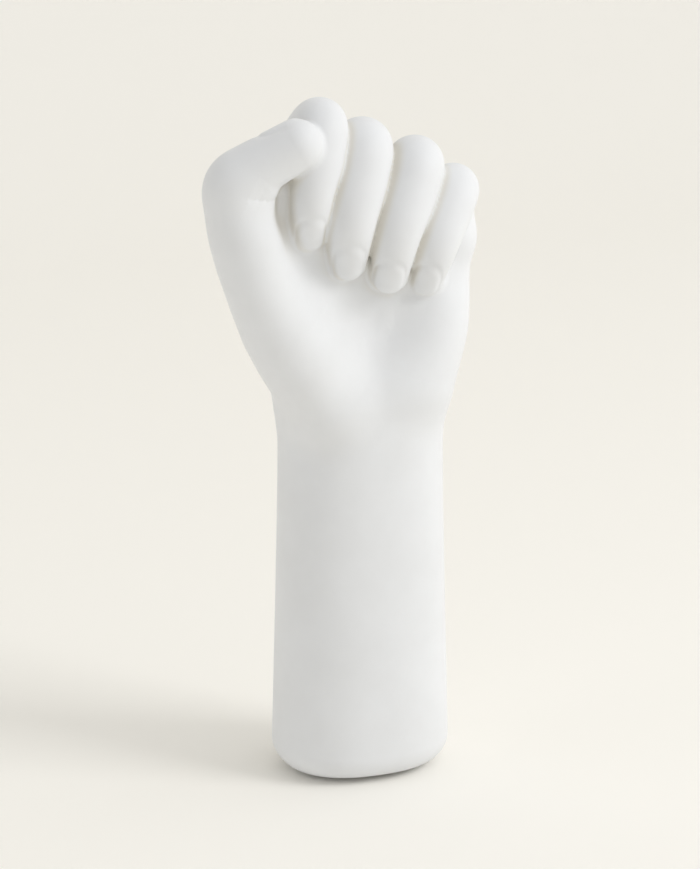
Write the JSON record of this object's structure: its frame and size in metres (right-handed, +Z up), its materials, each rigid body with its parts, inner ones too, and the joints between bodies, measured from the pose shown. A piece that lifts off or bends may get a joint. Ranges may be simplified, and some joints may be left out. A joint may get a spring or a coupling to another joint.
{
  "type": "hand sculpture",
  "caption": "Matt white ceramic sculpture of a raised, loosely closed left hand that stands upright on its own forearm, with a felt-covered foot.",
  "frame": {"origin": "middle of the foot, on the surface that the sculpture stands on", "axes": "+Z up along the forearm, +X towards the little finger's side, -Y towards the palm's side, where the curled fingertips show"},
  "size_m": [0.1081, 0.0691, 0.2536],
  "materials": {
    "ceramic": "smooth matt white, lightly sealed",
    "felt": "pressed grey-brown wool felt"
  },
  "bodies": {
    "root": {"forearm": "ceramic", "palm": "ceramic", "thumb": "ceramic", "index_finger": "ceramic", "middle_finger": "ceramic", "ring_finger": "ceramic", "little_finger": "ceramic", "closing_disc": "ceramic", "felt_pad": "felt"}
  },
  "joints": []
}
